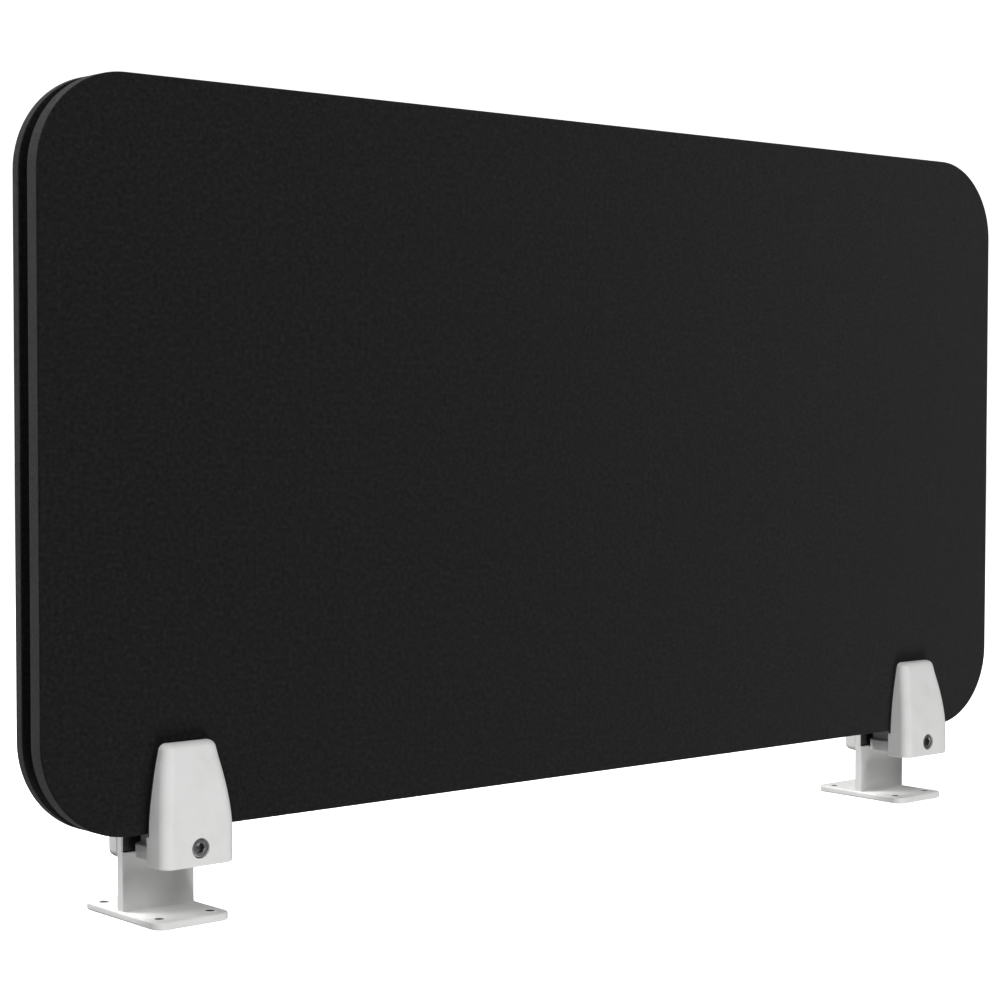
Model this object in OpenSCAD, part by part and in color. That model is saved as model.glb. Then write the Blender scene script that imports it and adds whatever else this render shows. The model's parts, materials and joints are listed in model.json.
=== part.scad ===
// Desk privacy panel on two screw-clamp feet.
// X runs along the panel, +Y is the user's far side, +Z is up.
// The origin is on the desk surface, under the middle of the feet.
// All lengths are in millimetres.

/* [Panel] */
// Width of the covered panel
panel_w = 776; // [700:1:1200]
// Height of the covered panel
panel_h = 400; // [300:1:600]
// Radius of the panel's four corners
corner_r = 53; // [45:1:90]
// Gap between the desk and the panel's lower edge
panel_lift = 50; // [46:1:90]
// Thickness of the front board, without its cover
front_board_t = 8.9; // [6:0.1:12]
// Thickness of the rear board, without its cover
rear_board_t = 5.5; // [5:0.1:12]
// Thickness of the black spacer frame between the boards
frame_t = 8.4; // [8:0.1:14]
// How far the spacer frame stands back from the panel's edge
frame_inset = 8; // [4:0.5:14]
// Thickness of the cover fabric
fabric_t = 0.6; // [0.4:0.1:1]

/* [Brackets] */
// Distance between the centres of the two brackets
bracket_spacing = 604.6; // [300:0.2:640]
// Width of the clamp jaws
jaw_w = 45.8; // [44:0.1:60]
// How far the front jaw stands out from the panel's front face
jaw_t = 17.5; // [16:0.5:19]
// Height of the jaws above the panel's lower edge
jaw_top = 47.8; // [44:0.1:50]
// Depth of the jaws below the panel's lower edge
jaw_drop = 17.4; // [16:0.1:22]

/* [Feet] */
// Width of the base plate
base_w = 47.5; // [46:0.5:60]
// Depth of the base plate, front to back
base_d = 77; // [72:0.5:90]
// How far the base plate reaches in front of the panel
base_reach = 12; // [8:0.5:16]
// Radius of the base plate's corners
base_r = 7; // [3:0.5:10]
// Thickness of the base plate and the upright
plate_t = 4.4; // [4:0.1:5]
// Diameter of the four holes for desk screws
desk_hole_d = 5; // [4:0.1:6]
// Distance between the desk holes across the foot
desk_hole_dx = 32; // [28:0.5:36]
// Distance between the desk holes, front to back
desk_hole_dy = 56; // [48:0.5:60]

/* [Clamp screw] */
// Thread diameter
screw_d = 6; // [5:0.5:6]
// Length under the head
screw_len = 50; // [47:1:50]
// Diameter of the socket head
head_d = 10; // [9:0.5:10]
// Height of the socket head
head_h = 6; // [5:0.5:6]
// Depth of the screw's axis below the panel's lower edge
screw_drop = 7.7; // [7:0.1:9]

/* [Hidden] */
$fn = 64;

WHITE = [0.93, 0.93, 0.92];
CHARCOAL = [0.16, 0.16, 0.165];
BLACK = [0.05, 0.05, 0.05];
BOARD = [0.72, 0.6, 0.45];
FOAM = [0.45, 0.45, 0.44];
STEEL = [0.75, 0.76, 0.78];
BLACK_STEEL = [0.22, 0.22, 0.23];
BRASS = [0.8, 0.66, 0.3];

// The panel's layers, from its front face at y = 0 back to panel_t.
front_back_y = 2 * fabric_t + front_board_t;
frame_back_y = front_back_y + frame_t;
panel_t = frame_back_y + 2 * fabric_t + rear_board_t;
hem_w = 22;
side_bar_w = 34;
bottom_bar_w = 52;

// The bracket's layers, from the panel's front face.
half_w = jaw_w / 2;
pad_t = 2.3;
rear_pad_t = 1.5;
rear_pad_proud = 0.3;
rear_pad_z = -13.5;
// The upright is thicker below the rear pad, which stands on this ledge.
ledge_t = 1.4;
web_y = panel_t + rear_pad_proud;
web_back_y = web_y + plate_t;
rear_jaw_t = 10.7;
base_y = -base_reach;
total_d = jaw_t + base_d - base_reach;
front_y = jaw_t - total_d / 2;

// Radii of the jaws' upright edges, and how far each outer face leans back for each mm of draw-in.
rear_edge_r = 4;
front_edge_r = 6.4;
rear_lean = 0.6;
front_lean = 1.25;
top_r = 3;
step_z = -1.6;
slip = 0.05;
cut = 0.5;

// The front jaw's two blocks under the panel, as depths below its lower edge.
rest_t = 1.4;
upper_in = 10.3;
upper_low = 8.5;
upper_back_y = 22.5;
lower_in = 4.7;
lower_high = 8;
lower_low = 15.8;
lower_front_y = 6.7;
lower_back_y = 23.2;
lower_r = 6.5;

// Sinks, from the front face of the jaw.
head_y = -jaw_t + 0.8;
washer_t = 1;
seat_y = head_y + head_h + washer_t;
head_bore_d = head_d + 0.8;

// The clamp screw's chamfers and its hexagon socket, measured over its corners.
head_chamfer = 0.6;
tip_chamfer = 1;
socket_h = 3.6;
socket_d = 5.8;

// The threaded insert in the rear jaw, and the room beyond it for the screw's tip.
insert_l = 9;
insert_d = 8;
tip_room = 0.8;

// Screws that hold the rear jaw to the upright.
m4_len = 10;
m4_z = [11, 33];
m4_y = web_y + rear_pad_t - rear_pad_proud;

// Screws from the frame into the front board, and plugs from the rear board into the frame.
frame_screw_d = 3.5;
frame_screw_l = 14;
frame_screw_head = 7;
plug_d = 6;
plug_flange_d = 10;
plug_in_frame = 6;
plug_in_board = 3;

// Places of the panel's hidden fasteners, as [x, z] from its lower middle.
screw_in = frame_inset + side_bar_w / 2;
frame_screw_at = concat(
    [for (x = [-0.39, -0.15, 0.15, 0.39], z = [frame_inset + bottom_bar_w / 2, panel_h - screw_in])
        [x * panel_w, z]],
    [for (s = [-1, 1]) [s * (panel_w / 2 - screw_in), panel_h / 2]]);
plug_in = hem_w + 11;
push_plug_at = concat(
    [for (x = [-0.3, 0, 0.3], z = [plug_in, panel_h - plug_in]) [x * panel_w, z]],
    [for (s = [-1, 1], z = [0.32, 0.68]) [s * (panel_w / 2 - plug_in), z * panel_h]]);

// Staples follow the hem at a constant inset, as [x, z, angle].
staple_in = 15;
staple_w = 10;
wire = 0.5;
staple_leg = 4;
row_x = panel_w / 2 - corner_r;
row_z = panel_h / 2 - corner_r;
staple_at = concat(
    [for (i = [-4 : 4], s = [-1, 1])
        [i * row_x / 4.5, panel_h / 2 + s * (panel_h / 2 - staple_in), 0]],
    [for (i = [-1.5 : 1.5], s = [-1, 1])
        [s * (panel_w / 2 - staple_in), panel_h / 2 + i * row_z / 2, 90]],
    [for (a = [22.5, 45, 67.5], sx = [-1, 1], sz = [-1, 1])
        [sx * (row_x + (corner_r - staple_in) * cos(a)),
         panel_h / 2 + sz * (row_z + (corner_r - staple_in) * sin(a)), sx * sz * (a - 90)]]);

// How far the jaw's sides draw in at height z; its outer face leans back in the same way.
function draw_in(z) = 0.0115 * pow(max(z, 0), 1.65);

// Outline of a jaw-shaped plate: a curved taper, round at the two top corners.
function jaw_outline(z0, z1, inset) = let(
    side = [for (i = [0 : 10]) let(z = (z1 - top_r) * i / 10) [half_w - inset - draw_in(z), z]],
    top = [for (a = [30, 60, 90]) side[10] + top_r * [cos(a) - 1, sin(a)]],
    right = concat([[side[0][0], z0]], side, top),
    left = [for (i = [len(right) - 1 : -1 : 0]) [-right[i][0], right[i][1]]])
    concat(right, left);

// Moves from the panel's front lower middle into the part's frame.
module from_panel() translate([0, front_y, panel_lift]) children();

module at_left() from_panel() translate([-bracket_spacing / 2, 0, 0]) children();

module at_right() from_panel() translate([bracket_spacing / 2, 0, 0]) children();

// Extrudes an X-Z outline from y0 to y1.
module slab(y0, y1) translate([0, y1, 0]) rotate([90, 0, 0]) linear_extrude(y1 - y0) children();

// A round bar along Y, at height z.
module rod(y0, y1, d, z = 0) translate([0, y1, z]) rotate([90, 0, 0]) cylinder(h = y1 - y0, d = d);

// A countersunk screw or its hole: the wide end lies at y0, the tip at y1.
module countersunk(y0, y1, head, shank) {
    rise = (head - shank) / 2;
    translate([0, y0, 0]) rotate([-90, 0, 0]) cylinder(h = rise, d1 = head, d2 = shank);
    rod(y0, y1, shank);
}

// A rectangle with round corners, its lower edge centred on the origin.
module rounded(w, h, r) {
    translate([-w / 2 + r, 0]) square([w - 2 * r, h]);
    translate([-w / 2, r]) square([w, h - 2 * r]);
    for (x = [-w / 2 + r, w / 2 - r], z = [r, h - r]) translate([x, z]) circle(r = r);
}

// The panel's outline, drawn in by inset all round.
module panel_outline(inset)
    translate([0, inset])
        rounded(panel_w - 2 * inset, panel_h - 2 * inset, corner_r - inset);

// ---- Panel ----

// Staples whose crowns lie at y0 and whose legs run towards side (1 or -1).
module staples(y0, side)
    for (p = staple_at) translate([p[0], y0, p[1]]) rotate([0, -p[2], 0]) {
        translate([-staple_w / 2, min(0, side * wire), -wire / 2]) cube([staple_w, wire, wire]);
        for (x = [-staple_w / 2, staple_w / 2 - wire])
            translate([x, min(0, side * staple_leg), -wire / 2]) cube([wire, staple_leg, wire]);
    }

// A fabric skin over the face and edges of a board, with a hem turned in behind.
module cover(y_face, y_hem) {
    inner_face = y_face + sign(y_hem - y_face) * fabric_t;
    inner_hem = y_hem - sign(y_hem - y_face) * fabric_t;
    difference() {
        slab(min(y_face, y_hem), max(y_face, y_hem)) panel_outline(0);
        slab(min(inner_face, inner_hem), max(inner_face, inner_hem)) panel_outline(fabric_t);
        slab(min(y_hem, inner_hem) - cut, max(y_hem, inner_hem) + cut) panel_outline(hem_w);
    }
}

module front_cover() color(CHARCOAL) from_panel() difference() {
    cover(0, front_back_y);
    staples(front_back_y, -1);
}

module front_board() color(BOARD) from_panel() difference() {
    slab(fabric_t, front_back_y - fabric_t) panel_outline(fabric_t);
    staples(front_back_y, -1);
    for (p = frame_screw_at)
        translate([p[0], 0, p[1]]) rod(frame_back_y - frame_screw_l, frame_back_y, frame_screw_d);
}

module front_staples() color(STEEL) from_panel() staples(front_back_y, -1);

// The black frame that keeps the boards apart; the clamps bear on its wide lower bar.
module spacer_frame() color(BLACK) from_panel() difference() {
    slab(front_back_y, frame_back_y) difference() {
        panel_outline(frame_inset);
        infill_windows();
    }
    for (p = frame_screw_at) translate([p[0], 0, p[1]]) {
        rod(front_back_y - cut, frame_back_y + cut, frame_screw_d + 0.5);
        translate([0, frame_back_y, 0]) frame_screw_head_cone();
    }
    for (p = push_plug_at)
        translate([p[0], 0, p[1]]) rod(frame_back_y - plug_in_frame, frame_back_y + cut, plug_d);
}

// Two windows in the frame, either side of its middle bar.
module infill_windows(gap = 0) {
    side = frame_inset + side_bar_w + gap;
    z0 = frame_inset + bottom_bar_w + gap;
    w = panel_w / 2 - side - side_bar_w / 2 - gap;
    for (s = [-1, 1]) translate([s * (w / 2 + side_bar_w / 2 + gap), z0])
        rounded(w, panel_h - side - z0, 18);
}

module acoustic_infill() color(FOAM) from_panel()
    slab(front_back_y - fabric_t, frame_back_y + fabric_t) infill_windows(0.5);

module frame_screws() color(STEEL) from_panel()
    for (p = frame_screw_at) translate([p[0], frame_back_y, p[1]]) {
        frame_screw_head_cone();
        rod(-frame_screw_l, 0, frame_screw_d);
    }

module frame_screw_head_cone()
    rotate([90, 0, 0]) cylinder(h = 1.5, d1 = frame_screw_head, d2 = frame_screw_d + 0.5);

// Plastic plugs that push the rear board onto the frame.
module push_plugs() color(WHITE) from_panel()
    for (p = push_plug_at) translate([p[0], 0, p[1]]) {
        rod(frame_back_y - plug_in_frame, frame_back_y + fabric_t + plug_in_board, plug_d);
        rod(frame_back_y, frame_back_y + fabric_t, plug_flange_d);
    }

module rear_board() color(BOARD) from_panel() difference() {
    slab(frame_back_y + fabric_t, panel_t - fabric_t) panel_outline(fabric_t);
    staples(frame_back_y, 1);
    for (p = push_plug_at) translate([p[0], 0, p[1]])
        rod(frame_back_y, frame_back_y + fabric_t + plug_in_board, plug_d);
}

module rear_staples() color(STEEL) from_panel() staples(frame_back_y, 1);

module rear_cover() color(CHARCOAL) from_panel() difference() {
    cover(panel_t, frame_back_y);
    staples(frame_back_y, 1);
}

// ---- Feet and rear jaws ----

// Base plate and upright in one piece.
module foot() color(WHITE) difference() {
    union() {
        translate([0, base_y, -panel_lift]) linear_extrude(plate_t) rounded(base_w, base_d, base_r);
        slab(web_y, web_back_y) polygon(jaw_outline(-panel_lift + plate_t / 2, jaw_top - 2, 0.2));
        translate([-half_w + 0.2, web_y - ledge_t, -panel_lift + plate_t / 2])
            cube([jaw_w - 0.4, ledge_t + cut, panel_lift - plate_t / 2 + rear_pad_z]);
    }
    for (x = [-1, 1], y = [-1, 1])
        translate([x * desk_hole_dx / 2, base_y + (base_d + y * desk_hole_dy) / 2, -panel_lift - cut])
            cylinder(h = plate_t + 2 * cut, d = desk_hole_d);
    slab(web_y - cut, web_y + rear_pad_t - rear_pad_proud) polygon(rear_pad_outline());
    rod(web_y - cut, web_back_y + cut, screw_d + 0.6, -screw_drop);
    for (z = m4_z) translate([0, m4_y, z]) countersunk(0, plate_t, 8, 4.4);
}

function rear_pad_outline() = jaw_outline(rear_pad_z, jaw_top - 4, 1.2);

module rear_jaw() color(WHITE) difference() {
    translate([0, web_back_y, 0]) mirror([0, 1, 0]) jaw_shell(rear_jaw_t, rear_lean, rear_edge_r, true);
    rod(web_back_y - cut, web_back_y + insert_l, insert_d, -screw_drop);
    rod(web_back_y, web_back_y + insert_l + tip_room, screw_d + 0.4, -screw_drop);
    for (z = m4_z) rod(web_back_y - cut, m4_y + m4_len, 4, z);
}

// A jaw's outer form: flat at y = 0, standing out to y = -depth, with round outer edges.
module jaw_shell(depth, lean, side_r, round_foot) hull() {
    slab(-0.5, 0) polygon(jaw_outline(-jaw_drop, jaw_top, 0));
    for (z = [0, 10, 20, 30, 38, jaw_top], s = [-1, 1]) {
        r = min(side_r, (depth - lean * draw_in(z)) / 2);
        translate([s * (half_w - r - draw_in(z)), -depth + lean * draw_in(z) + r, min(z, jaw_top - r)])
            sphere(r = r, $fn = 32);
    }
    for (s = [-1, 1]) translate([s * (half_w - side_r), -depth + side_r, -jaw_drop])
        if (round_foot) translate([0, 0, side_r]) sphere(r = side_r, $fn = 32);
        else cylinder(h = 1, r = side_r, $fn = 32);
}

module rear_pad() color(BLACK) difference() {
    slab(panel_t, panel_t + rear_pad_t) polygon(rear_pad_outline());
    rod(panel_t - cut, panel_t + rear_pad_t + cut, screw_d + 1, -screw_drop);
}

module thread_insert() color(BRASS) difference() {
    rod(web_back_y, web_back_y + insert_l, insert_d, -screw_drop);
    rod(web_back_y - cut, web_back_y + insert_l + cut, screw_d + 2 * slip, -screw_drop);
}

module rear_jaw_screws() color(STEEL)
    for (z = m4_z) translate([0, m4_y, z]) difference() {
        countersunk(0, m4_len, 8, 4);
        translate([0, 1.8, 0]) rotate([90, 0, 0]) cylinder(h = 2.5, d = 2.8, $fn = 6);
    }

// ---- Sliding front jaws ----

// The clamp face leans back as it rises; two blocks reach under the panel.
module front_jaw() color(WHITE) difference() {
    union() {
        translate([0, -pad_t, 0]) jaw_shell(jaw_t - pad_t, front_lean, front_edge_r, false);
        translate([-half_w, -pad_t - cut, -jaw_drop]) cube([jaw_w, pad_t + cut, jaw_drop + step_z]);
        translate([-half_w + upper_in, -cut, -upper_low])
            cube([jaw_w - 2 * upper_in, upper_back_y + cut, upper_low - rest_t]);
        translate([0, 0, -lower_low]) linear_extrude(lower_low - lower_high) arm_plan();
    }
    rod(-jaw_t - cut, seat_y, head_bore_d, -screw_drop);
    rod(seat_y - cut, web_y, screw_d + 2 * slip, -screw_drop);
}

// Plan of the lower block: square in front, round at its two rear corners.
module arm_plan() {
    w = jaw_w - 2 * lower_in;
    d = lower_back_y - lower_front_y;
    translate([-w / 2, lower_front_y]) square([w, d - lower_r]);
    translate([-w / 2 + lower_r, lower_front_y]) square([w - 2 * lower_r, d]);
    for (s = [-1, 1]) translate([s * (w / 2 - lower_r), lower_back_y - lower_r]) circle(r = lower_r);
}

module front_pad() color(BLACK) slab(-pad_t, 0) polygon(jaw_outline(step_z + 0.3, jaw_top - 1.5, 0.8));

// Strip that the panel's lower edge rests on, on top of the upper block.
module rest_pad() color(BLACK)
    translate([-half_w + upper_in, 0.2, -rest_t]) cube([jaw_w - 2 * upper_in, upper_back_y - 0.4, rest_t]);

module washer() color(STEEL) difference() {
    rod(seat_y - washer_t, seat_y, head_bore_d - 0.2, -screw_drop);
    rod(seat_y - washer_t - cut, seat_y + cut, screw_d + 0.4, -screw_drop);
}

// Socket head cap screw, its hexagon socket towards the user.
module clamp_screw() color(BLACK_STEEL) translate([0, head_y, -screw_drop]) rotate([-90, 0, 0])
    difference() {
        union() {
            cylinder(h = head_chamfer, d1 = head_d - 2 * head_chamfer, d2 = head_d);
            translate([0, 0, head_chamfer]) cylinder(h = head_h - head_chamfer, d = head_d);
            cylinder(h = head_h + screw_len - tip_chamfer, d = screw_d);
            translate([0, 0, head_h + screw_len - tip_chamfer])
                cylinder(h = tip_chamfer, d1 = screw_d, d2 = screw_d - 2 * tip_chamfer);
        }
        translate([0, 0, -cut]) cylinder(h = socket_h + cut, d = socket_d, $fn = 6);
    }

module foot_left() at_left() foot();
module foot_right() at_right() foot();
module rear_jaw_left() at_left() rear_jaw();
module rear_jaw_right() at_right() rear_jaw();
module rear_pad_left() at_left() rear_pad();
module rear_pad_right() at_right() rear_pad();
module thread_insert_left() at_left() thread_insert();
module thread_insert_right() at_right() thread_insert();
module rear_jaw_screws_left() at_left() rear_jaw_screws();
module rear_jaw_screws_right() at_right() rear_jaw_screws();
module front_jaw_left() at_left() front_jaw();
module front_jaw_right() at_right() front_jaw();
module front_pad_left() at_left() front_pad();
module front_pad_right() at_right() front_pad();
module rest_pad_left() at_left() rest_pad();
module rest_pad_right() at_right() rest_pad();
module washer_left() at_left() washer();
module washer_right() at_right() washer();
module clamp_screw_left() at_left() clamp_screw();
module clamp_screw_right() at_right() clamp_screw();

front_cover();
front_board();
front_staples();
spacer_frame();
acoustic_infill();
frame_screws();
push_plugs();
rear_board();
rear_staples();
rear_cover();
foot_left();
foot_right();
rear_jaw_left();
rear_jaw_right();
rear_pad_left();
rear_pad_right();
thread_insert_left();
thread_insert_right();
rear_jaw_screws_left();
rear_jaw_screws_right();
front_jaw_left();
front_jaw_right();
front_pad_left();
front_pad_right();
rest_pad_left();
rest_pad_right();
washer_left();
washer_right();
clamp_screw_left();
clamp_screw_right();
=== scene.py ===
import json
from math import cos, pi, radians, sin

import bmesh
import bpy
from mathutils import Matrix, Vector


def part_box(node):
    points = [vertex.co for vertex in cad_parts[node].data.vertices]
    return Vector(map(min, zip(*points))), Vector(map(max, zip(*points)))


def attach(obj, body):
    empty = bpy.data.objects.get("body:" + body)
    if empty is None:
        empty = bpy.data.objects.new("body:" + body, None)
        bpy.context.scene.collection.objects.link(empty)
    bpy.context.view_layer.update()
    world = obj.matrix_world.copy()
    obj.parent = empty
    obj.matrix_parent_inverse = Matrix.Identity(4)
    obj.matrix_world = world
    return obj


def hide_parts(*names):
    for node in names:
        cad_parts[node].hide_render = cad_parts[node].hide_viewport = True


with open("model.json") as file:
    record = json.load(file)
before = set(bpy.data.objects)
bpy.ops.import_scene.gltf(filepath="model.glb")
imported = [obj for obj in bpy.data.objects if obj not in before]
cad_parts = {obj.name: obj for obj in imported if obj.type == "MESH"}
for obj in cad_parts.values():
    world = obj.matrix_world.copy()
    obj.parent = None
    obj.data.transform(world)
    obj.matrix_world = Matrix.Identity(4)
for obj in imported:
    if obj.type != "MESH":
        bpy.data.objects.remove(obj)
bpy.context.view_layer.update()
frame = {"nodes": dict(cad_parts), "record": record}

MM = 0.001
SIDES = ("left", "right")

# ---- Measures, in millimetres (the corners PANEL_LOW and PANEL_HIGH are in metres) ----

PANEL_LOW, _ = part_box("front_cover")
_, PANEL_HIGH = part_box("rear_cover")
PANEL_W = (PANEL_HIGH.x - PANEL_LOW.x) / MM
PANEL_H = (PANEL_HIGH.z - PANEL_LOW.z) / MM
PANEL_T = (PANEL_HIGH.y - PANEL_LOW.y) / MM
PANEL_LIFT = PANEL_LOW.z / MM
CORNER_R = 53
FRAME_INSET = 8

# The covers' cloth and the felt mats, which lie on either side of the frame's middle bar.
CLOTH_T = 0.6
CLOTH_EDGE_R = 0.8
HEM_W = 22
YARN_W = 0.62
FOLD_H, FOLDS_PER_CORNER = 0.4, 7
FELT_BAR_W = 34
FELT_GAP = 0.5
FELT_CORNER_R = 18
FELT_EDGE_R = 2.4

# Jaws: HALF_W is half their width at the foot, and their depth draws in by LEAN times as much as a side.
HALF_W = 22.9
TAPER, TAPER_POWER = 0.0115, 1.65
JAW_T = 17.5
JAW_DROP = 17.4
JAW_TOP = 47.8
FRONT_EDGE_R, REAR_EDGE_R = 6.4, 4
FRONT_FOOT_R = 0.9
FRONT_LEAN, REAR_LEAN = 1.25, 0.6
INNER_EDGE_R = 0.4
TOP_R = 3
STEP_Z = -1.6

FRONT_PAD_T = 2.3
FRONT_PAD_IN = 0.8
FRONT_PAD_LOW, FRONT_PAD_TOP = STEP_Z + 0.3, JAW_TOP - 1.5
REST_T = 1.4

# The two blocks of the front jaw under the panel; their sides stand in by IN from the jaw's.
UPPER_IN, UPPER_LOW, UPPER_BACK_Y = 10.3, 8.5, 22.5
LOWER_IN, LOWER_LOW, LOWER_HIGH = 4.7, 15.8, 8
LOWER_FRONT_Y, LOWER_BACK_Y, LOWER_R = 3.7, 23.2, 6.5

# The clamp screw, its hole and the washer it bears on.
SCREW_Z = -7.7
HEAD_R = 5
HEAD_BORE_R = 5.4
HEAD_Y = -JAW_T + 0.8
HEAD_H = 6
WASHER_T = 1
SEAT_Y = HEAD_Y + HEAD_H + WASHER_T
THREAD_R, THREAD_ROOT_R, THREAD_CREST_R = 3, 2.54, 2.98
THREAD_PITCH, THREAD_RISE = 1, 0.5
SHAFT_LEN = 50
SOCKET_H = 3.6
SOCKET_R = 2.9

# The foot: its upright (WEB) is thicker below the rear pad, which stands on that LEDGE.
PLATE_T = 4.4
WEB_IN = 0.2
WEB_Y = PANEL_T + 0.3
WEB_BACK_Y = WEB_Y + PLATE_T
WEB_TOP = JAW_TOP - 2
LEDGE_T = 1.4
REAR_PAD_T = 1.5
REAR_PAD_IN = 1.2
# The rear pad reaches down to REAR_PAD_Z, below the panel's lower edge; that black strip under the panel is
# painted shade on the upright.
REAR_PAD_Z, REAR_PAD_TOP = -13.5, JAW_TOP - 4
REAR_JAW_T = 10.7
INSERT_R, INSERT_L = 4, 9
M4_Z = (11, 33)
M4_HEAD_R, M4_HOLE_R, M4_CORE_R = 4, 2.2, 2
M4_CONE_H, M4_LEN = 1.8, 10
M4_SINK_Y = PANEL_T + REAR_PAD_T

BASE_W = 47.5
BASE_D = 77
BASE_R = 7
BASE_EDGE_R = 1.2
BASE_Y = -12
BASE_MIDDLE_Y = BASE_Y + BASE_D / 2
DESK_Z = -PANEL_LIFT
BASE_TOP = DESK_Z + PLATE_T
COVE_R = 0.8
DESK_HOLE_R = 2.5
DESK_HOLE_X, DESK_HOLE_Y = 32 / 2, 56 / 2
DESK_HOLE_BREAK = 0.25


def datum(node):
    """Matrix from the drawing of a bracket or the panel to the row frame, centred on a node."""
    low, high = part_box(node)
    place = Matrix.Translation(((low.x + high.x) / 2, PANEL_LOW.y, PANEL_LOW.z))
    return place @ Matrix.Scale(MM, 4)


# ---- Materials ----

TINT_FROM, TINT_TO = 0.3, 0.7


class Look:
    """One procedural material: a Principled shader and the nodes that feed it."""

    def __init__(self, name, **sockets):
        self.material = bpy.data.materials.new(name)
        self.material.use_nodes = True
        self.tree = self.material.node_tree
        self.shader = self.tree.nodes["Principled BSDF"]
        for socket, value in sockets.items():
            self.shader.inputs[socket.replace("_", " ")].default_value = value
        self.place = self.node("ShaderNodeTexCoord").outputs["Object"]

    def node(self, kind, settings=(), **inputs):
        made = self.tree.nodes.new(kind)
        for setting, value in dict(settings).items():
            setattr(made, setting, value)
        for name, value in inputs.items():
            self.feed(made.inputs[name.replace("_", " ")], value)
        return made

    def feed(self, socket, value):
        if isinstance(value, bpy.types.NodeSocket):
            self.tree.links.new(value, socket)
        else:
            socket.default_value = value

    def math(self, operation, a, b=0.0):
        made = self.tree.nodes.new("ShaderNodeMath")
        made.operation = operation
        self.feed(made.inputs[0], a)
        self.feed(made.inputs[1], b)
        return made.outputs[0]

    def choose(self, factor, a, b):
        """The number a where factor is 0 and b where it is 1."""
        made = self.node("ShaderNodeMix", Factor=factor)
        self.feed(made.inputs[2], a)
        self.feed(made.inputs[3], b)
        return made.outputs[0]

    def stretched(self, vector, scale):
        made = self.tree.nodes.new("ShaderNodeVectorMath")
        made.operation = "MULTIPLY"
        self.feed(made.inputs[0], vector)
        self.feed(made.inputs[1], scale)
        return made.outputs[0]

    def noise(self, size, detail=3.0, stretch=(1, 1, 1), vector=None):
        """Noise whose blobs are about size millimetres, longer along an axis whose stretch is under 1."""
        vector = self.stretched(vector or self.place, stretch)
        made = self.node("ShaderNodeTexNoise", Vector=vector, Scale=1 / (size * MM), Detail=detail)
        return made.outputs[0]

    def tint(self, factor, *colours):
        """Colours spaced evenly over the middle of the factor, where noise stays, to the base colour."""
        ramp = self.tree.nodes.new("ShaderNodeValToRGB")
        steps = ramp.color_ramp.elements
        while len(steps) < len(colours):
            steps.new(0.5)
        for i, colour in enumerate(colours):
            steps[i].position = TINT_FROM + (TINT_TO - TINT_FROM) * i / (len(colours) - 1)
            steps[i].color = (*colour, 1)
        self.feed(ramp.inputs[0], factor)
        self.feed(self.shader.inputs["Base Color"], ramp.outputs[0])

    def rough(self, factor, low, high):
        made = self.node("ShaderNodeMapRange", Value=factor, To_Min=low, To_Max=high)
        self.feed(self.shader.inputs["Roughness"], made.outputs[0])

    def bump(self, height, depth, strength=1.0, over=None):
        """Relief whose full height is depth millimetres, laid over an earlier bump."""
        made = self.node("ShaderNodeBump", Height=height, Distance=depth * MM, Strength=strength)
        if over:
            self.feed(made.inputs["Normal"], over)
        self.feed(self.shader.inputs["Normal"], made.outputs[0])
        return made.outputs[0]


def grey(level, tone=1.0):
    """A nearly neutral colour; tone under 1 is warmer and over 1 cooler."""
    return (level, level, level * tone)


def fabric_look():
    """Plain weave of two-tone charcoal yarn, laid out on the cut cloth's own flat plan, darker between the
    yarns by painted shade.
    """
    yarn = YARN_W * MM
    look = Look("charcoal_weave", Roughness=0.95, Specular_IOR_Level=0.12, Sheen_Weight=0.26,
                Sheen_Roughness=0.36, Sheen_Tint=(0.75, 0.76, 0.8, 1))
    flat = look.node("ShaderNodeUVMap", {"uv_map": "flat"}).outputs[0]
    wander = look.math("MULTIPLY", look.math("SUBTRACT", look.noise(9, 2, vector=flat), 0.5), 0.9 * yarn)
    parts = look.node("ShaderNodeSeparateXYZ", Vector=flat)
    turns = [look.math("MULTIPLY", look.math("ADD", parts.outputs[i], wander), pi / yarn) for i in (0, 1)]
    waves = [look.math("SINE", turn) for turn in turns]
    warp_over = look.math("GREATER_THAN", look.math("MULTIPLY", *waves), 0.0)
    across = [look.math("ABSOLUTE", wave) for wave in waves]
    along = [look.math("POWER", wave, 0.35) for wave in across]
    relief = look.choose(
        warp_over, look.math("MULTIPLY", along[0], across[1]), look.math("MULTIPLY", across[0], along[1]))
    slub = look.choose(
        warp_over, look.noise(0.9, 2, (0.12, 1, 1), flat), look.noise(0.9, 2, (1, 0.12, 1), flat))
    mottle = look.noise(2.4, 3, vector=flat)
    tone = look.math("ADD", look.math("MULTIPLY", slub, 0.3), look.math("MULTIPLY", mottle, 0.7))
    # The relief darkens the colour where the yarns dip: painted shade between the yarns, mixed with the
    # yarns' real tone.
    shade = look.math("ADD", look.math("MULTIPLY", relief, 0.12), look.math("MULTIPLY", tone, 0.88))
    look.tint(shade, grey(0.0024, 1.03), grey(0.0085, 1.03), grey(0.019, 1.03))
    look.rough(slub, 0.85, 1.0)
    fuzz = look.bump(look.noise(0.12, 2), 0.05, 0.5)
    look.bump(relief, 0.16, 0.9, fuzz)
    return look.material


def paint_look():
    """White satin powder coat: orange peel, fine grit and a faintly uneven white."""
    look = Look("white_powder_coat", Roughness=0.42, Specular_IOR_Level=0.4, Coat_Weight=0.12,
                Coat_Roughness=0.3)
    cloud = look.noise(14, 4)
    look.tint(cloud, grey(0.76, 0.985), grey(0.79, 0.99), grey(0.805, 0.995))
    look.rough(look.noise(1.1, 4), 0.36, 0.52)
    grit = look.bump(look.noise(0.22, 2), 0.012, 0.6)
    look.bump(look.noise(1.3, 1), 0.03, 0.5, grit)
    return look.material


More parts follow.
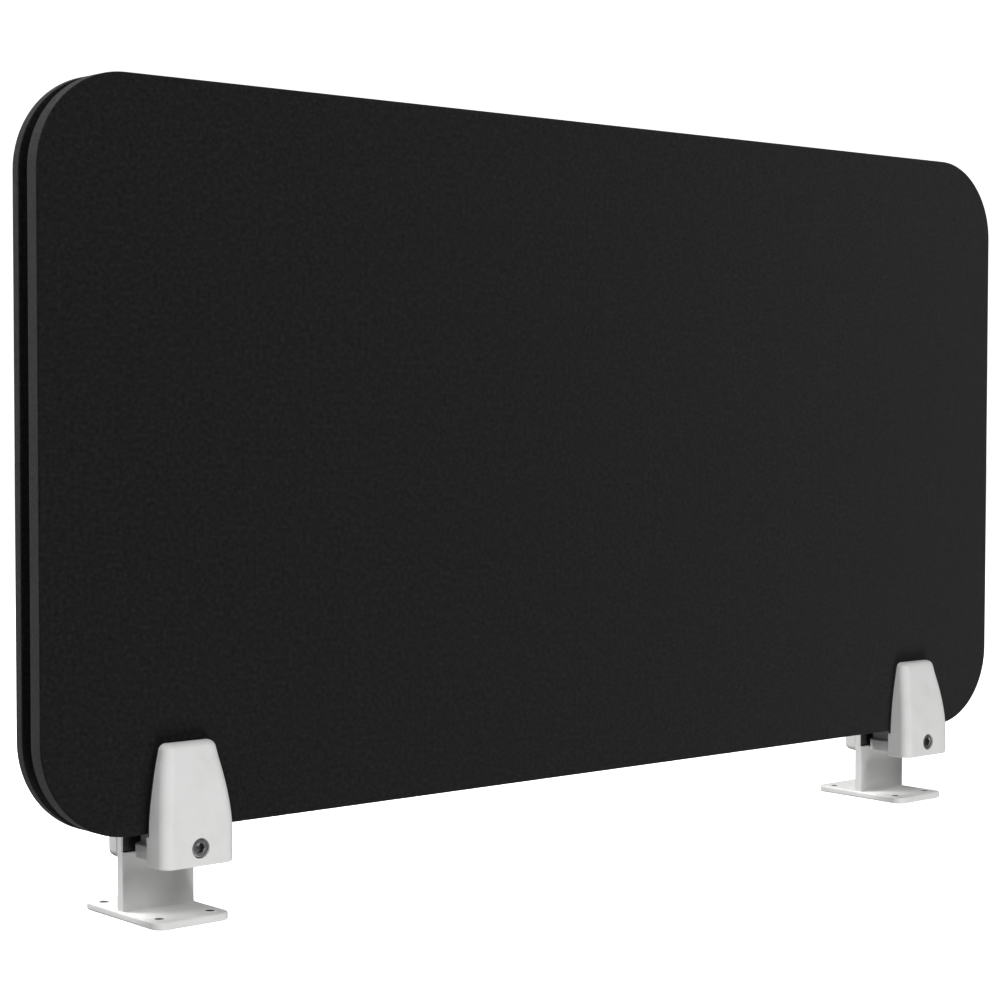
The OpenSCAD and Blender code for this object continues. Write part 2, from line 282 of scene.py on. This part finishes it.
def rubber_look():
    """Matt black rubber with a moulded grain and a trace of bloom."""
    look = Look("black_rubber", Roughness=0.8, Specular_IOR_Level=0.3)
    look.tint(look.noise(2.5, 5), grey(0.022), grey(0.034), grey(0.046))
    look.rough(look.noise(0.8, 3), 0.7, 0.92)
    look.bump(look.noise(0.25, 3), 0.04, 0.8)
    return look.material


def frame_look():
    """Black stained fibreboard: short fibres and saw marks across the edge."""
    look = Look("black_stained_board", Roughness=0.75, Specular_IOR_Level=0.2)
    fibre = look.noise(0.35, 4, (0.35, 1, 0.35))
    look.tint(fibre, grey(0.02), grey(0.032), grey(0.05))
    look.rough(look.noise(2, 3), 0.65, 0.9)
    look.bump(fibre, 0.06, 0.7)
    return look.material


def board_look():
    """Raw fibreboard: pale brown fibres with darker specks."""
    look = Look("raw_fibreboard", Roughness=0.85)
    fibre = look.noise(0.5, 5, (0.5, 1.6, 0.5))
    specks = look.noise(1.4, 3)
    tone = look.math("ADD", look.math("MULTIPLY", fibre, 0.6), look.math("MULTIPLY", specks, 0.4))
    look.tint(tone, (0.26, 0.17, 0.09), (0.42, 0.3, 0.17), (0.55, 0.42, 0.27))
    look.rough(fibre, 0.75, 0.95)
    look.bump(fibre, 0.08, 0.7)
    return look.material


def felt_look():
    """Pressed grey felt of mixed fibres."""
    look = Look("acoustic_felt", Roughness=1.0, Specular_IOR_Level=0.1, Sheen_Weight=0.3,
                Sheen_Roughness=0.5)
    fibres = look.math("MULTIPLY", look.noise(0.8, 5, (0.2, 1, 1)), look.noise(0.8, 5, (1, 1, 0.2)))
    look.tint(look.math("MULTIPLY", fibres, 2.0), grey(0.09), grey(0.17), grey(0.3))
    look.rough(fibres, 0.85, 1.0)
    look.bump(fibres, 0.3, 0.8)
    return look.material


def plug_look():
    """Moulded off-white nylon."""
    look = Look("white_nylon", Roughness=0.45, Subsurface_Weight=0.05)
    look.tint(look.noise(5, 3), grey(0.6, 0.95), grey(0.68, 0.96), grey(0.72, 0.97))
    look.rough(look.noise(0.9, 3), 0.38, 0.55)
    look.bump(look.noise(0.3, 2), 0.01, 0.6)
    return look.material


def metal_look(name, dark, light, roughness, brushed):
    """Machined metal: brushed lines along one axis, stains and tiny pits."""
    look = Look(name, Metallic=1.0, Roughness=roughness)
    lines = look.noise(0.16, 3, brushed)
    stain = look.noise(2.2, 5)
    middle = tuple((a + b) / 2 for a, b in zip(dark, light))
    look.tint(look.math("ADD", look.math("MULTIPLY", lines, 0.5), look.math("MULTIPLY", stain, 0.5)),
              dark, middle, light)
    look.rough(stain, roughness - 0.08, roughness + 0.12)
    look.bump(lines, 0.012, 0.6)
    return look.material


LOOKS = {
    "fabric": fabric_look(),
    "board": board_look(),
    "black_frame": frame_look(),
    "infill": felt_look(),
    "plug_plastic": plug_look(),
    "steel": metal_look("zinc_plated_steel", grey(0.42), grey(0.66, 1.02), 0.34, (1, 0.1, 1)),
    "black_steel": metal_look("dark_steel", grey(0.17), grey(0.34), 0.42, (1, 1, 0.15)),
    "brass": metal_look("turned_brass", (0.5, 0.34, 0.12), (0.76, 0.58, 0.27), 0.3, (1, 0.1, 1)),
    "rubber": rubber_look(),
    "white_paint": paint_look(),
}

# ---- Outlines and solids, in millimetres ----


def arc(x, y, r, start, end, steps):
    """Points along an arc, its angles in degrees."""
    angles = [radians(start + (end - start) * i / steps) for i in range(steps + 1)]
    return [(x + r * cos(a), y + r * sin(a)) for a in angles]


def round_rect(w, h, r, steps, middle=(0, 0)):
    """A rectangle with round corners, anticlockwise."""
    cx, cy = middle
    corners = [(1, -1, -90), (1, 1, 0), (-1, 1, 90), (-1, -1, 180)]
    points = []
    for sx, sy, start in corners:
        points += arc(cx + sx * (w / 2 - r), cy + sy * (h / 2 - r), r, start, start + 90, steps)
    return points


def circle(x, y, r, steps=32):
    """Points round a circle, clockwise."""
    return [(x + r * sin(2 * pi * i / steps), y + r * cos(2 * pi * i / steps)) for i in range(steps)]


def draw_in(z):
    """How far a jaw's sides draw in at height z."""
    return TAPER * max(z, 0) ** TAPER_POWER


def jaw_outline(z0, z1, inset):
    """A curved taper, round at its two top corners, anticlockwise."""
    side = [(HALF_W - inset - draw_in(z), z) for z in [(z1 - TOP_R) * i / 24 for i in range(25)]]
    end = side[-1][0]
    top = arc(end - TOP_R, z1 - TOP_R, TOP_R, 11.25, 90, 7)
    right = [(side[0][0], z0), *side, *top]
    return right + [(-x, z) for x, z in reversed(right)]


def linked(name, mesh):
    made = bpy.data.objects.new(name, mesh)
    bpy.context.scene.collection.objects.link(made)
    return made


def solid(bm):
    """A closed mesh as an object, welded and with its faces outward."""
    bmesh.ops.remove_doubles(bm, verts=bm.verts, dist=1e-4)
    bmesh.ops.recalc_face_normals(bm, faces=bm.faces)
    mesh = bpy.data.meshes.new("solid")
    bm.to_mesh(mesh)
    bm.free()
    return linked("solid", mesh)


def skin(bm, loops):
    """Faces between equal loops of vertices, and one over each end."""
    for a, b in zip(loops, loops[1:]):
        for i in range(len(a)):
            j = (i + 1) % len(a)
            bm.faces.new((a[i], a[j], b[j], b[i]))
    bm.faces.new(loops[0])
    bm.faces.new(loops[-1])


def loft(rings):
    """A solid skinned over equal rings of points and closed at both ends."""
    bm = bmesh.new()
    skin(bm, [[bm.verts.new(point) for point in ring] for ring in rings])
    return solid(bm)


def lathe(profile, z=SCREW_Z):
    """A solid turned about the Y axis at height z, from (radius, y) pairs."""
    turns = [2 * pi * i / 48 for i in range(48)]
    return loft([[(r * cos(turn), y, z + r * sin(turn)) for turn in turns] for r, y in profile])


def plate(outline, start, end, edge_r, lying=False):
    """A flat plate with rounded edges. It stands from y = start to end, or lies from z = start to end."""
    curve = bpy.data.curves.new("outline", "CURVE")
    curve.dimensions = "2D"
    curve.fill_mode = "BOTH"
    spline = curve.splines.new("POLY")
    spline.points.add(len(outline) - 1)
    for point, (x, y) in zip(spline.points, outline):
        point.co = (x, y, 0, 1)
    spline.use_cyclic_u = True
    curve.extrude = (end - start) / 2 - edge_r
    curve.bevel_depth = edge_r
    curve.bevel_resolution = 3
    curve.offset = -edge_r
    drawn = linked("outline", curve)
    bpy.context.view_layer.update()
    mesh = bpy.data.meshes.new_from_object(drawn.evaluated_get(bpy.context.evaluated_depsgraph_get()))
    bpy.data.objects.remove(drawn)
    middle = (start + end) / 2
    if lying:
        mesh.transform(Matrix.Translation((0, 0, middle)))
    else:
        mesh.transform(Matrix.Translation((0, middle, 0)) @ Matrix.Rotation(radians(90), 4, "X"))
    bm = bmesh.new()
    bm.from_mesh(mesh)
    return solid(bm)


def combine(base, tool, operation):
    """Cuts tool out of base, or joins it on; the tool is used up."""
    change = base.modifiers.new("change", "BOOLEAN")
    change.operation = operation
    change.solver = "EXACT"
    change.object = tool
    bpy.context.view_layer.update()
    mesh = bpy.data.meshes.new_from_object(base.evaluated_get(bpy.context.evaluated_depsgraph_get()))
    base.modifiers.clear()
    base.data = mesh
    bpy.data.objects.remove(tool)
    return base


def cut(base, *tools):
    for tool in tools:
        combine(base, tool, "DIFFERENCE")
    return base


def join(base, *tools):
    for tool in tools:
        combine(base, tool, "UNION")
    return base


def finished(name, shape, matrix, body, slot, stands_for, crease=32):
    """A copy of a shape in the row frame, with its finish, its body and the CAD nodes it stands for."""
    mesh = shape.data.copy()
    mesh.name = name
    mesh.transform(matrix)
    mesh.materials.clear()
    mesh.materials.append(LOOKS[slot])
    mesh.shade_smooth()
    mesh.set_sharp_from_angle(angle=radians(crease))
    piece = linked(name, mesh)
    smooth = piece.modifiers.new("even_shading", "WEIGHTED_NORMAL")
    smooth.keep_sharp = True
    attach(piece, body)
    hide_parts(*stands_for)
    return piece


def on_both_sides(shape, name, node, body, slot):
    """One shape at both brackets. node and body are the names without _left or _right."""
    for side in SIDES:
        own_body = body if body == "feet" else f"{body}_{side}"
        finished(f"{name}_{side}", shape, datum(f"{node}_{side}"), own_body, slot, (f"{node}_{side}",))
    bpy.data.objects.remove(shape)


# ---- Panel ----


def cloth(name, node, face_y, hem_y):
    """A cover stretched over a board's face and round its edges, its hem stapled flat behind."""
    depth = abs(hem_y - face_y)
    away = 1 if hem_y > face_y else -1
    corner_steps, edge_steps = 28, 5
    e = CLOTH_EDGE_R

    def wrap(r):
        """(inset, depth, way travelled) from the face to the hem's free edge, on one side of the cloth."""
        under = e - r
        rim = arc(e, e, r, -90, -180, edge_steps)
        back = arc(e, depth - e, r, 180, 90, edge_steps)
        bend = [e * radians(90 * i / edge_steps) for i in range(edge_steps + 1)]
        side = depth - 2 * e
        face_rows = (40, 30, 20, 10, 5)
        hem_rows = (2, 3, 4, 5, 6, 7, 7.8, 12, 17, HEM_W)
        path = [(inset, under, e - inset) for inset in face_rows]
        path += [(x, y, s) for (x, y), s in zip(rim, bend)]
        start = bend[-1] + side
        path += [(x, y, start + s) for (x, y), s in zip(back, bend)]
        return path + [(inset, depth - under, start + bend[-1] + inset - e) for inset in hem_rows]

    def gathers(inset, corner_share):
        """Small folds of spare cloth where the hem turns a corner, free only outside the spacer frame."""
        start, end = 1.5, FRAME_INSET - 0.1
        if not start < inset < end:
            return 0.0
        reach = sin(pi * (inset - start) / (end - start))
        return FOLD_H * reach * (0.5 - 0.5 * cos(corner_share * 2 * pi * FOLDS_PER_CORNER)) ** 2

    def panel_ring(inset):
        """The panel's outline, drawn in by inset."""
        return round_rect(PANEL_W - 2 * inset, PANEL_H - 2 * inset, CORNER_R - inset, corner_steps)

    bm = bmesh.new()
    flat = bm.loops.layers.uv.new("flat")
    plan = {}
    loops = []
    outer, inner = wrap(e), wrap(e - CLOTH_T)
    for inset, deep, travelled in outer + inner[::-1]:
        loop = []
        for i, ((x, z), (u, v)) in enumerate(zip(panel_ring(inset), panel_ring(e - travelled))):
            share = (i % (corner_steps + 1)) / corner_steps
            fold = gathers(inset, share) if deep > depth / 2 else 0.0
            vert = bm.verts.new((x, face_y + away * (deep + fold), z + PANEL_H / 2))
            plan[vert] = (u * MM, v * MM)
            loop.append(vert)
        loops.append(loop)
    skin(bm, loops)
    bmesh.ops.recalc_face_normals(bm, faces=bm.faces)
    for face in bm.faces:
        for corner in face.loops:
            corner[flat].uv = plan[corner.vert]
    mesh = bpy.data.meshes.new(name)
    bm.to_mesh(mesh)
    bm.free()
    shape = linked("cloth", mesh)
    piece = finished(name, shape, datum(node), "panel", "fabric", (node,), crease=60)
    bpy.data.objects.remove(shape)


def infill():
    """Two felt mats in the frame's windows, flat and round at their edges."""
    low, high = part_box("acoustic_infill")
    w = (high.x - low.x) / MM / 2 - FELT_BAR_W / 2 - FELT_GAP
    h = (high.z - low.z) / MM
    t = (high.y - low.y) / MM
    quarter = [radians(a) for a in (90, 60, 30, 0)]
    edge = [(FELT_EDGE_R * (1 - cos(a)), FELT_EDGE_R * (1 - sin(a))) for a in quarter]
    section = [(inset, 0.0) for inset in (16, 8)] + edge
    section += [(inset, t - deep) for inset, deep in reversed(section)]
    shapes = []
    for side in (-1, 1):
        middle = (side * (FELT_BAR_W / 2 + FELT_GAP + w / 2), (low.z - PANEL_LOW.z) / MM + h / 2)
        rings = []
        for inset, deep in section:
            ring = round_rect(w - 2 * inset, h - 2 * inset, FELT_CORNER_R - inset, 8, middle)
            rings.append([(x, (low.y - PANEL_LOW.y) / MM + deep, z) for x, z in ring])
        shapes.append(loft(rings))
    piece = finished("felt_mats", join(*shapes), datum("acoustic_infill"), "panel", "infill",
                     ("acoustic_infill",))
    bpy.data.objects.remove(shapes[0])


def build_panel():
    rear_low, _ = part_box("rear_cover")
    _, front_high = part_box("front_cover")
    front_back = (front_high.y - PANEL_LOW.y) / MM
    rear_front = (rear_low.y - PANEL_LOW.y) / MM
    cloth("front_cloth", "front_cover", 0, front_back)
    cloth("rear_cloth", "rear_cover", PANEL_T, rear_front)
    infill()


# ---- Jaws ----


def jaw_ring(z, inset, depth, lean, edge_r, back, plane_y, outward):
    """A jaw's section at height z: flat towards the panel, round at its two outer corners."""
    half = HALF_W - draw_in(z) - inset
    d = depth - lean * draw_in(z) - inset
    r = min(edge_r, (d - back) * 0.7)
    inner = INNER_EDGE_R
    ring = arc(half - inner, back + inner, inner, -90, 0, 3)
    ring += arc(half - r, d - r, r, 0, 90, 12)
    ring += arc(-half + r, d - r, r, 90, 180, 12)
    ring += arc(-half + inner, back + inner, inner, 180, 270, 3)
    return [(x, plane_y + outward * out, z) for x, out in ring]


def jaw_body(depth, lean, edge_r, foot_r, plane_y, outward, pad_t=0.0):
    """A whole jaw, from its rounded foot to its rounded top, stepped back by pad_t for its pad."""
    quarter = [radians(90 * i / 6) for i in range(7)]
    levels = [(-JAW_DROP + foot_r * (1 - cos(t)), foot_r * (1 - sin(t)), 0.0) for t in quarter]
    if pad_t:
        levels += [(STEP_Z - 0.01, 0.0, 0.0), (STEP_Z, 0.0, pad_t)]
    levels += [(z, 0.0, pad_t) for z in (0, *[(JAW_TOP - TOP_R) * i / 20 for i in range(1, 20)])]
    levels += [(JAW_TOP - TOP_R * (1 - sin(t)), TOP_R * (1 - cos(t)), pad_t) for t in quarter]
    return loft([jaw_ring(z, inset, depth, lean, edge_r, back, plane_y, outward)
                 for z, inset, back in levels])


def front_jaw():
    """The sliding jaw, with the two blocks that reach under the panel and the sunk hole for the screw."""
    body = jaw_body(JAW_T, FRONT_LEAN, FRONT_EDGE_R, FRONT_FOOT_R, 0, -1, FRONT_PAD_T)
    into_jaw = 1
    middle = (0, (UPPER_BACK_Y - into_jaw) / 2)
    outline = round_rect(2 * (HALF_W - UPPER_IN), UPPER_BACK_Y + into_jaw, 0.8, 3, middle)
    upper = plate(outline, -UPPER_LOW, -REST_T, 0.5, lying=True)
    half, r = HALF_W - LOWER_IN, LOWER_R
    outline = [(-half, LOWER_FRONT_Y), (half, LOWER_FRONT_Y)]
    outline += arc(half - r, LOWER_BACK_Y - r, r, 0, 90, 10)
    outline += arc(r - half, LOWER_BACK_Y - r, r, 90, 180, 10)
    lower = plate(outline, -LOWER_LOW, -LOWER_HIGH, 0.8, lying=True)
    bore = lathe([(0.01, -JAW_T - 1), (HEAD_BORE_R + 1.25, -JAW_T - 1), (HEAD_BORE_R, -JAW_T + 0.25),
                  (HEAD_BORE_R, SEAT_Y), (0.01, SEAT_Y)])
    shaft = lathe([(THREAD_R + 0.05, SEAT_Y - 1), (THREAD_R + 0.05, WEB_Y)])
    return cut(join(body, upper, lower), bore, shaft)


def rear_jaw():
    """The fixed jaw behind the upright, hollow only for its threaded insert and two screws."""
    body = jaw_body(REAR_JAW_T, REAR_LEAN, REAR_EDGE_R, REAR_EDGE_R, WEB_BACK_Y, 1)
    end, tip_r = WEB_BACK_Y + INSERT_L, THREAD_R + 0.2
    insert = lathe([(INSERT_R, WEB_BACK_Y - 1), (INSERT_R, end), (tip_r, end), (tip_r, end + 0.8)])
    screws = [lathe([(M4_CORE_R, WEB_BACK_Y - 1), (M4_CORE_R, M4_SINK_Y + M4_LEN)], z) for z in M4_Z]
    return cut(body, insert, *screws)


# ---- Feet ----


def cove(side_y, outward):
    """The small hollow fillet where the upright meets the base plate."""
    section = [(-1, -1), (COVE_R, -1), *arc(COVE_R, COVE_R, COVE_R, 270, 180, 4), (-1, COVE_R)]
    half = HALF_W - 0.5
    return loft([[(x, side_y + outward * y, BASE_TOP + z) for y, z in section] for x in (-half, half)])


def desk_hole(x, y):
    """A hole down through the base plate, its upper edge just broken."""
    wide = DESK_HOLE_R + DESK_HOLE_BREAK
    levels = [(DESK_HOLE_R, DESK_Z - 1), (DESK_HOLE_R, BASE_TOP - DESK_HOLE_BREAK), (wide, BASE_TOP),
              (wide, BASE_TOP + 1)]
    return loft([[(px, py, z) for px, py in circle(x, y, r)] for r, z in levels])


def foot():
    """Base plate and upright in one piece, with the pad's recess and the screws' holes."""
    desk_holes = [desk_hole(x, BASE_MIDDLE_Y + y) for x in (-DESK_HOLE_X, DESK_HOLE_X)
                  for y in (-DESK_HOLE_Y, DESK_HOLE_Y)]
    base = plate(round_rect(BASE_W, BASE_D, BASE_R, 10, (0, BASE_MIDDLE_Y)), DESK_Z, BASE_TOP,
                 BASE_EDGE_R, lying=True)
    low, half = DESK_Z + PLATE_T / 2, HALF_W - WEB_IN
    web = plate(jaw_outline(low, WEB_TOP, WEB_IN), WEB_Y, WEB_BACK_Y, 0.5)
    ledge = plate([(-half, low), (half, low), (half, REAR_PAD_Z), (-half, REAR_PAD_Z)], WEB_Y - LEDGE_T,
                  WEB_BACK_Y - 0.7, 0.5)
    recess = plate(jaw_outline(REAR_PAD_Z, REAR_PAD_TOP, REAR_PAD_IN), WEB_Y - 1, M4_SINK_Y, 0.05)
    bore = lathe([(THREAD_R + 0.3, WEB_Y - 1), (THREAD_R + 0.3, WEB_BACK_Y + 1)])
    sink = [(M4_HEAD_R, M4_SINK_Y - 1), (M4_HEAD_R, M4_SINK_Y), (M4_HOLE_R, M4_SINK_Y + M4_CONE_H),
            (M4_HOLE_R, WEB_BACK_Y + 1)]
    body = join(base, web, ledge, cove(WEB_Y - LEDGE_T, -1), cove(WEB_BACK_Y, 1))
    return cut(body, recess, bore, *[lathe(sink, z) for z in M4_Z], *desk_holes)


def finish_base_plates():
    """Shades the plates' level faces flat and gives the walls of the desk holes the dark steel finish, a
    painted shade in the holes.
    """
    for side in SIDES:
        mesh = bpy.data.objects[f"foot_plate_{side}"].data
        # The second finish, dark steel on the hole walls, is painted shade.
        mesh.materials.append(LOOKS["black_steel"])
        to_drawing = datum(f"foot_{side}").inverted()
        for face in mesh.polygons:
            if abs(face.normal.z) > 0.999:
                face.use_smooth = False
            x, y, z = to_drawing @ face.center
            off = Vector((abs(x) - DESK_HOLE_X, abs(y - BASE_MIDDLE_Y) - DESK_HOLE_Y))
            if off.length < DESK_HOLE_R + 0.05 and DESK_Z < z < BASE_TOP:
                face.material_index = 1


# ---- Clamp screw ----


def clamp_screw():
    """Socket head cap screw with a hexagon socket and a rolled thread."""
    steps, rows = 36, 8
    head_end = HEAD_Y + HEAD_H
    end = head_end + SHAFT_LEN

    def ring(y, radius):
        turns = [i / steps for i in range(steps)]
        return [(radius(t) * cos(2 * pi * t), y, SCREW_Z + radius(t) * sin(2 * pi * t)) for t in turns]

    def thread(y):
        """The thread's radius round the shaft at y: a V with flat crests, tapering over the last pitch."""
        taper = max(0.0, y - end + THREAD_PITCH) * 0.7

        def radius(turn):
            rise = abs(((y / THREAD_PITCH - turn) % 1) * 2 - 1)
            return min(THREAD_ROOT_R + THREAD_RISE * rise, THREAD_CREST_R) - taper

        return radius

    head = [(HEAD_R - 0.9, 0), (HEAD_R - 0.3, 0.2), (HEAD_R, 0.7), (HEAD_R, HEAD_H - 0.2),
            (HEAD_R - 0.2, HEAD_H), (THREAD_R - 0.3, HEAD_H)]
    rings = [ring(HEAD_Y + y, lambda turn, r=r: r) for r, y in head]
    shaft = [head_end + (i + 1) * THREAD_PITCH / rows for i in range(int(SHAFT_LEN * rows / THREAD_PITCH))]
    rings += [ring(y, thread(y)) for y in shaft]
    hexagon = [(SOCKET_R * cos(pi / 3 * i), SOCKET_R * sin(pi / 3 * i)) for i in range(6)]
    levels = [(1.12, -0.5), (1.12, 0.0), (1.0, 0.3), (1.0, SOCKET_H), (0.05, SOCKET_H + 1)]
    socket = loft([[(x * k, HEAD_Y + y, SCREW_Z + z * k) for x, z in hexagon] for k, y in levels])
    return cut(loft(rings), socket)


def build_brackets():
    on_both_sides(front_jaw(), "front_jaw_casting", "front_jaw", "jaw", "white_paint")
    on_both_sides(rear_jaw(), "rear_jaw_casting", "rear_jaw", "feet", "white_paint")
    on_both_sides(foot(), "foot_plate", "foot", "feet", "white_paint")
    finish_base_plates()
    front_pad = plate(jaw_outline(FRONT_PAD_LOW, FRONT_PAD_TOP, FRONT_PAD_IN), -FRONT_PAD_T, 0, 0.35)
    on_both_sides(front_pad, "front_pad_rubber", "front_pad", "jaw", "rubber")
    # Above the panel's lower edge the rear pad is the real rubber pad; below it, its black strip is painted
    # shade on the upright.
    rear_pad = plate(jaw_outline(REAR_PAD_Z, REAR_PAD_TOP, REAR_PAD_IN), PANEL_T, PANEL_T + REAR_PAD_T, 0.3)
    cut(rear_pad, lathe([(THREAD_R + 0.5, PANEL_T - 1), (THREAD_R + 0.5, PANEL_T + REAR_PAD_T + 1)]))
    on_both_sides(rear_pad, "rear_pad_rubber_and_painted_shade", "rear_pad", "feet", "rubber")
    rest = plate(round_rect(2 * (HALF_W - UPPER_IN), UPPER_BACK_Y - 0.4, 0.6, 3, (0, UPPER_BACK_Y / 2)),
                 -REST_T, 0, 0.3, lying=True)
    on_both_sides(rest, "rest_pad_rubber", "rest_pad", "jaw", "rubber")
    on_both_sides(clamp_screw(), "socket_screw", "clamp_screw", "screw", "black_steel")


def finish_cad_nodes():
    """Gives each CAD node that still shows the finish of its material slot."""
    for part in frame["record"]["subparts"]:
        node = frame["nodes"][part["node"]]
        if not node.hide_render:
            node.data.materials.clear()
            node.data.materials.append(LOOKS[part["material_slot"]])


# ---- Studio ----

LAMPS = (  # name, degrees round from the front, degrees up, watts
    ("front_bounce", 0, -45, 39),
    ("front_low", 0, 30, 7),
    ("front_high", 0, 50, 17),
    ("front_left", -50, 35, 14),
    ("left", -90, 30, 20),
    ("back_left", -135, 55, 91),
    ("right", 95, 30, 12),
)
LAMP_SIZE, LAMP_DISTANCE, LAMP_TARGET = 1.2, 2.6, Vector((0, 0, 0.2))  # metres
GLOW, GLOW_RISE = 0.16, 20  # strength, and degrees up
FLOOR_HALF, FLOOR_FADE, FLOOR_GLOW = 11, (0.5, 3.0), (0.82, 1.0)  # metres, metres, strengths
SURROUND_R, SURROUND_Z = 10, (-6, 10)  # metres
# The sheets of painted shade under the feet: inset, height over the desk and thickness.
SHADE_SHEET_IN, SHADE_SHEET_LOW, SHADE_SHEET_T = 3, 0.02, 0.1  # millimetres

SENSOR_W, LENS = 36, 83.378
EYE_LEFT, EYE_FRONT, EYE_UP = 0.9775, 1.0442, 0.2266  # metres from the panel's middle, face and lower edge
EYE_DIP, EYE_ROLL, EYE_TURN = 2.317, 0.079, 40.719  # degrees


def floor():
    """A plain pale floor that fades into the white surround away from the object."""
    bm = bmesh.new()
    bmesh.ops.create_grid(bm, x_segments=8, y_segments=8, size=FLOOR_HALF)
    mesh = bpy.data.meshes.new("floor")
    bm.to_mesh(mesh)
    bm.free()
    look = Look("pale_floor", Roughness=0.9, Specular_IOR_Level=0.1, Emission_Color=(1, 1, 1, 1))
    look.tint(look.noise(400, 2), grey(0.90), grey(0.92))
    away = look.node("ShaderNodeVectorMath", {"operation": "LENGTH"}, Vector=look.place).outputs["Value"]
    fade = look.node("ShaderNodeMapRange", Value=away, From_Min=FLOOR_FADE[0], From_Max=FLOOR_FADE[1],
                     To_Min=FLOOR_GLOW[0], To_Max=FLOOR_GLOW[1])
    look.feed(look.shader.inputs["Emission Strength"], fade.outputs[0])
    mesh.materials.append(look.material)
    return linked("floor", mesh)


def surround():
    """A white drum round the set, for the eye only."""
    drum = loft([[(x, y, z) for x, y in circle(0, 0, SURROUND_R, 64)] for z in SURROUND_Z])
    drum.name = "surround"
    look = Look("white_surround", Roughness=1.0, Emission_Color=(1, 1, 1, 1), Emission_Strength=1.0)
    drum.data.materials.append(look.material)
    return drum


def shade_under_feet():
    """A dark sheet just inside each foot's underside, seen through its screw holes: painted shade, since
    the floor there is as pale as elsewhere.
    """
    look = Look("painted_shade_sheet", Roughness=1.0, Specular_IOR_Level=0.0)
    # The sheet's dark grey is painted shade.
    look.tint(look.noise(3, 2), grey(0.05), grey(0.08))
    w, d, r = BASE_W - 2 * SHADE_SHEET_IN, BASE_D - 2 * SHADE_SHEET_IN, BASE_R - SHADE_SHEET_IN
    low = DESK_Z + SHADE_SHEET_LOW
    cover = plate(round_rect(w, d, r, 6, (0, BASE_MIDDLE_Y)), low, low + SHADE_SHEET_T, 0.02, lying=True)
    for side in SIDES:
        mesh = cover.data.copy()
        mesh.transform(datum(f"foot_{side}"))
        mesh.materials.append(look.material)
        linked(f"painted_shade_sheet_{side}", mesh)
    bpy.data.objects.remove(cover)


def set_pieces():
    """The floor and the surround, which only the camera sees, and the sheets of painted shade under the
    feet.
    """
    for stage in (floor(), surround()):
        stage.visible_diffuse = False
        stage.visible_glossy = False
        stage.visible_shadow = False
        stage.data.materials[0].cycles.emission_sampling = "NONE"
    shade_under_feet()


def glow():
    """A dim even glow from all directions below GLOW_RISE degrees, and none above."""
    world = bpy.data.worlds.new("studio")
    world.use_nodes = True
    nodes, links = world.node_tree.nodes, world.node_tree.links
    direction = nodes.new("ShaderNodeTexCoord")
    parts = nodes.new("ShaderNodeSeparateXYZ")
    below = nodes.new("ShaderNodeMath")
    below.operation = "LESS_THAN"
    below.inputs[1].default_value = sin(radians(GLOW_RISE))
    strength = nodes.new("ShaderNodeMath")
    strength.operation = "MULTIPLY"
    strength.inputs[1].default_value = GLOW
    links.new(direction.outputs["Generated"], parts.inputs[0])
    links.new(parts.outputs["Z"], below.inputs[0])
    links.new(below.outputs[0], strength.inputs[0])
    links.new(strength.outputs[0], nodes["Background"].inputs["Color"])
    bpy.context.scene.world = world


def lamps():
    """Soft round lamps, all as far from the object; front_bounce is the light that the floor throws up."""
    for name, turn, rise, power in LAMPS:
        light = bpy.data.lights.new(name, "AREA")
        light.shape = "DISK"
        light.size = LAMP_SIZE
        light.energy = power
        lamp = linked(name, light)
        lamp.visible_camera = False
        a, e = radians(turn), radians(rise)
        toward = Vector((sin(a) * cos(e), -cos(a) * cos(e), sin(e)))
        lamp.location = LAMP_TARGET + toward * LAMP_DISTANCE
        lamp.rotation_mode = "QUATERNION"
        lamp.rotation_quaternion = toward.to_track_quat("Z", "Y")


def camera():
    """The view from the panel's front left, a little above the middle of the panel."""
    data = bpy.data.cameras.new("camera")
    data.sensor_width = SENSOR_W
    data.lens = LENS
    data.clip_start = 0.01
    eye = linked("camera", data)
    eye.location = PANEL_LOW + Vector((PANEL_W * MM / 2 - EYE_LEFT, -EYE_FRONT, EYE_UP))
    eye.rotation_euler = (radians(90 - EYE_DIP), radians(-EYE_ROLL), radians(-EYE_TURN))
    bpy.context.scene.camera = eye


camera()
build_panel()
build_brackets()
finish_cad_nodes()
set_pieces()
glow()
lamps()
bpy.context.scene.view_settings.view_transform = "Standard"
